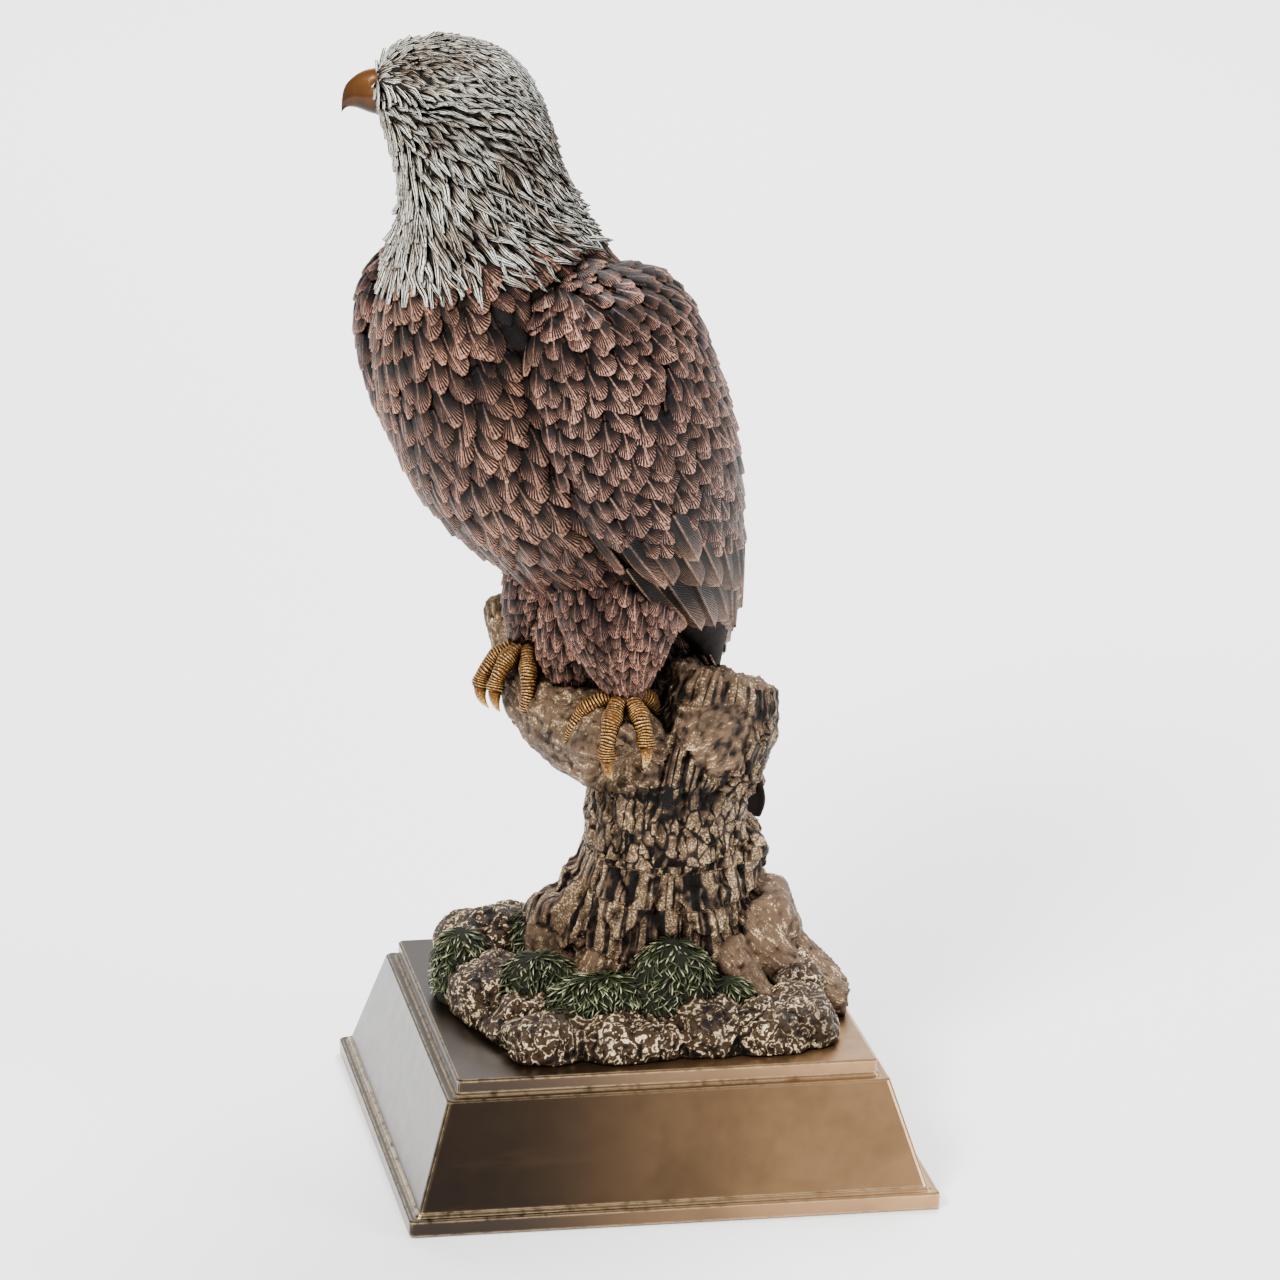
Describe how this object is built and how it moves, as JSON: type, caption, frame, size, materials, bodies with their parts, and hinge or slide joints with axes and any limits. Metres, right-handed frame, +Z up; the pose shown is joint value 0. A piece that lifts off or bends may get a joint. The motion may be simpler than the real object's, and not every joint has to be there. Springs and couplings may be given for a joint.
{
  "type": "eagle statue",
  "caption": "Bronze-finish bald eagle with folded wings on a broken tree stump among mossy rocks, on a square stepped plinth.",
  "frame": {"origin": "middle of the plinth's underside", "axes": "+Z up, the plinth's front towards -Y, the bird's chest towards -X and -Y"},
  "size_m": [0.2746, 0.26, 0.5577],
  "materials": {
    "plinth": "satin antique bronze",
    "eagle_on_stump": "bronzed cast resin, hand painted and dry brushed"
  },
  "bodies": {
    "root": {"plinth": "plinth", "eagle_on_stump": "eagle_on_stump"}
  },
  "joints": []
}
